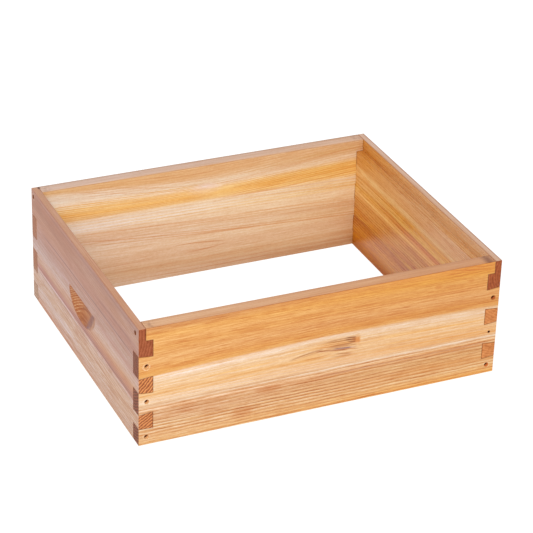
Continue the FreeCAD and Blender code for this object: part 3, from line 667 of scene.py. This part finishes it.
            # the torn lip is wider below the hole
            q2 = E(g, g.use(DISTANCE, ul, dl, hu - 0.5, hd + 0.8)) if scuff > 0.3 else q
            ring = g.hump(q2 + fleck * 3.0, rad + 1.1, 1.5) * flakes
            col = g.mix(ring * scuff, col, lin((252, 226, 196)))
        elif wall is not DULL:
            col = g.mix(g.step(q, rad + 1.6, rad - 0.2) * 0.45, col, (0.62, 0.50, 0.50), "MULTIPLY")

    rough = s["gloss"] + thin * 0.10 + fibre * 0.10 - dark * 0.06 + streak * 0.06
    rough = g.lerp(endm, rough, 0.62 + speck * 0.15)
    hgt = fibre * 0.5 + thin * 0.5 + dark * 0.5 + streak * 0.6 - pore * 0.5
    hgt = g.lerp(endm, hgt, speck * 1.2 - eline * 0.5)
    spec = 0.46 - endm * 0.22
    if key == "right":
        # the foot of this board is rougher and drier
        foot = g.step(d, 140.0, 164.0) * g.step(w, T - 1.0, T - 0.4)
        spec = spec - foot * 0.24
        rough = rough + foot * 0.3
    g.finish(col, rough, hgt, 0.00010, spec=spec, tint=(1.0, 0.90, 0.76))
    return mat


def knot_figure(g, col, u, d, streak, thin, knot):
    """A small leaf-shaped knot lying along the grain."""
    dt = d + thin * 1.2
    live = streak + 1.0

    def stroke(col, u0, da, u1, db, bow, hw, tint, st, f0=8.0, f1=8.0):
        n = u1 - u0
        return g.use(STROKE, col, u, dt, live * st, u0, 1.0 / n, da, db - da, 4.0 * bow, hw * 1.3,
                     -f0 / n, f0 / n, 1.0 + f1 / n, 1.0 - f1 / n, tint)
    warm, brown = (0.97, 0.82, 0.58), (0.56, 0.35, 0.21)
    deep, orange = (0.36, 0.17, 0.08), (0.76, 0.48, 0.26)
    col = g.mix(knot * 0.5, col, (0.99, 0.93, 0.80), "MULTIPLY")
    col = stroke(col, 246, 74.5, 304, 76.0, 0.0, 7.5, warm, 1.0, 22, 1.5)
    col = stroke(col, 292, 75.2, 303, 76.6, 0.0, 6.3, (0.84, 0.52, 0.25), 0.9, 5, 1.5)
    col = stroke(col, 285, 70.7, 297, 71.9, -0.1, 1.4, deep, 1.0, 4, 2)
    col = stroke(col, 284, 73.4, 297, 74.9, 0.0, 1.4, deep, 1.0, 5, 2)
    col = stroke(col, 287, 76.3, 297, 78.0, 0.2, 1.3, deep, 0.9, 4, 2)
    col = stroke(col, 256, 71.6, 288, 71.0, -0.3, 1.3, brown, 0.8, 14, 4)
    col = stroke(col, 259, 73.0, 288, 74.0, 0.0, 1.1, brown, 0.85, 10, 4)
    col = stroke(col, 252, 75.6, 292, 77.2, 0.0, 0.9, orange, 0.9, 10, 4)
    col = stroke(col, 264, 78.5, 293, 79.6, 0.0, 1.3, brown, 0.95, 10, 4)
    col = stroke(col, 250, 78.4, 288, 81.2, 0.0, 0.9, orange, 0.9, 8, 6)
    col = stroke(col, 258, 80.8, 298, 82.6, -0.2, 1.1, brown, 0.7, 8, 3)
    col = stroke(col, 264, 83.6, 298, 87.0, -0.5, 2.6, (0.80, 0.74, 0.86), 0.9, 8, 5)
    col = stroke(col, 268, 83.6, 290, 85.6, 0.1, 1.5, (0.42, 0.30, 0.48), 1.0, 5, 3)
    col = stroke(col, 243, 82.6, 284, 87.8, -0.2, 1.5, (0.60, 0.34, 0.22), 1.0, 5, 5)
    col = stroke(col, 280, 86.4, 300, 89.4, 0.0, 0.9, orange, 0.9, 6, 5)
    col = stroke(col, 208, 87.2, 250, 80.8, -1.0, 1.4, brown, 0.85, 7, 5)
    col = stroke(col, 222, 86.6, 262, 83.0, -0.8, 1.0, brown, 0.5, 6, 6)
    col = stroke(col, 200, 74.0, 252, 78.0, -1.0, 1.2, warm, 0.8, 6, 10)
    col = stroke(col, 270, 91.2, 290, 94.4, 0.0, 1.4, brown, 0.7, 6, 5)
    col = stroke(col, 264, 95.0, 292, 97.0, 0.0, 1.0, brown, 0.45, 6, 5)
    col = stroke(col, 226, 91.0, 262, 90.0, 0.6, 0.9, orange, 0.7, 8, 6)
    return col


def steel():
    mat, g = new_material("steel_nail")
    tc = g.node("ShaderNodeTexCoord")
    sep = g.node("ShaderNodeSeparateXYZ")
    g.nt.links.new(tc.outputs["Object"], sep.inputs[0])
    x, y, z = [E(g, o) * 1000.0 for o in sep.outputs]
    grime = g.noise(x / 1.6, y / 1.6, z / 1.6, 3.0, 0.6)
    fine = g.noise(x / 0.25, y / 0.25, z / 0.25, 2.0, 0.6)
    rust = g.step(grime, 0.02, 0.16)
    col = g.mix(rust, lin((108, 56, 22)), lin((70, 34, 14)))
    col = g.gain(col, 1.0 + fine * 0.5)
    g.finish(col, 0.62 + grime * 0.3 + rust * 0.1, grime + fine * 0.5, 0.00006, spec=0.12)
    return mat


# ------------------------------------------------------------------ eased edges
def mark_long_edges():
    """Geometry nodes group: writes bevel weight 1 on sharp edges of real length."""
    ng = bpy.data.node_groups.new("mark_sharp_edges", "GeometryNodeTree")
    ng.interface.new_socket("Geometry", in_out="INPUT", socket_type="NodeSocketGeometry")
    ng.interface.new_socket("Geometry", in_out="OUTPUT", socket_type="NodeSocketGeometry")
    n, k = ng.nodes, ng.links
    gi, go = n.new("NodeGroupInput"), n.new("NodeGroupOutput")
    ang = n.new("GeometryNodeInputMeshEdgeAngle")
    big = n.new("ShaderNodeMath"); big.operation = "GREATER_THAN"; big.inputs[1].default_value = 0.55
    k.new(ang.outputs["Unsigned Angle"], big.inputs[0])
    ev = n.new("GeometryNodeInputMeshEdgeVertices")
    dist = n.new("ShaderNodeVectorMath"); dist.operation = "DISTANCE"
    k.new(ev.outputs["Position 1"], dist.inputs[0])
    k.new(ev.outputs["Position 2"], dist.inputs[1])
    lon = n.new("ShaderNodeMath"); lon.operation = "GREATER_THAN"; lon.inputs[1].default_value = 0.0013
    k.new(dist.outputs["Value"], lon.inputs[0])
    both = n.new("ShaderNodeMath"); both.operation = "MULTIPLY"
    k.new(big.outputs[0], both.inputs[0])
    k.new(lon.outputs[0], both.inputs[1])
    st = n.new("GeometryNodeStoreNamedAttribute")
    st.data_type, st.domain = "FLOAT", "EDGE"
    st.inputs["Name"].default_value = "bevel_weight_edge"
    k.new(gi.outputs[0], st.inputs["Geometry"])
    k.new(both.outputs[0], st.inputs["Value"])
    k.new(st.outputs[0], go.inputs[0])
    return ng


MARK = mark_long_edges()


def modifier(o, name, kind, **props):
    md = o.modifiers.new(name, kind)
    for k, v in props.items():
        setattr(md, k, v)
    return md


def ease_edges(o, width):
    modifier(o, "join_facets", "WELD", merge_threshold=2e-6)
    modifier(o, "flatten", "DECIMATE", decimate_type="DISSOLVE", angle_limit=0.004, delimit=set())
    modifier(o, "mark", "NODES", node_group=MARK)
    modifier(o, "ease", "BEVEL", width=width, segments=2, limit_method="WEIGHT",
             use_clamp_overlap=False, harden_normals=False, miter_outer="MITER_SHARP")
    modifier(o, "shade", "WEIGHTED_NORMAL", keep_sharp=True, weight=80)


def clothe(node, mat):
    o = NODES[node]
    for i in range(len(o.material_slots)):
        o.material_slots[i].material = mat


for key, s in BOARDS.items():
    clothe(s["node"], wood(key))
    ease_edges(NODES[s["node"]], 0.0006)
nail = steel()
for n in NODES:
    if "nail" in n:
        clothe(n, nail)

# ------------------------------------------------------------------ floor and light
me = bpy.data.meshes.new("floor")
me.from_pydata([(-9, -9, -0.0002), (9, -9, -0.0002), (9, 9, -0.0002), (-9, 9, -0.0002)], [], [(0, 1, 2, 3)])
floor = bpy.data.objects.new("floor", me)
scene.collection.objects.link(floor)
fm = bpy.data.materials.new("floor_paper")
fm.use_nodes = True
fb = fm.node_tree.nodes["Principled BSDF"]
fb.inputs["Base Color"].default_value = (0.14, 0.14, 0.14, 1)
fb.inputs["Roughness"].default_value = 0.9
fb.inputs["Specular IOR Level"].default_value = 0.1
fb.inputs["Emission Color"].default_value = (1, 1, 1, 1)
fb.inputs["Emission Strength"].default_value = 0.96
me.materials.append(fm)

world = bpy.data.worlds.new("studio")
world.use_nodes = True
world.node_tree.nodes["Background"].inputs[0].default_value = (0.97, 0.985, 1.0, 1)
world.node_tree.nodes["Background"].inputs[1].default_value = 0.85
scene.world = world
scene.view_settings.view_transform = "Standard"


def area(name, loc, aim, size, watts, color=(1, 1, 1)):
    ld = bpy.data.lights.new(name, "AREA")
    ld.shape, ld.size, ld.size_y = "RECTANGLE", size[0], size[1]
    ld.energy, ld.color = watts, color
    o = bpy.data.objects.new(name, ld)
    o.location = loc
    o.rotation_euler = (Vector(aim) - Vector(loc)).to_track_quat("-Z", "Y").to_euler()
    scene.collection.objects.link(o)


area("key", (-1.7, -2.5, 2.7), (0, 0, 0.08), (1.5, 1.2), 66.0)
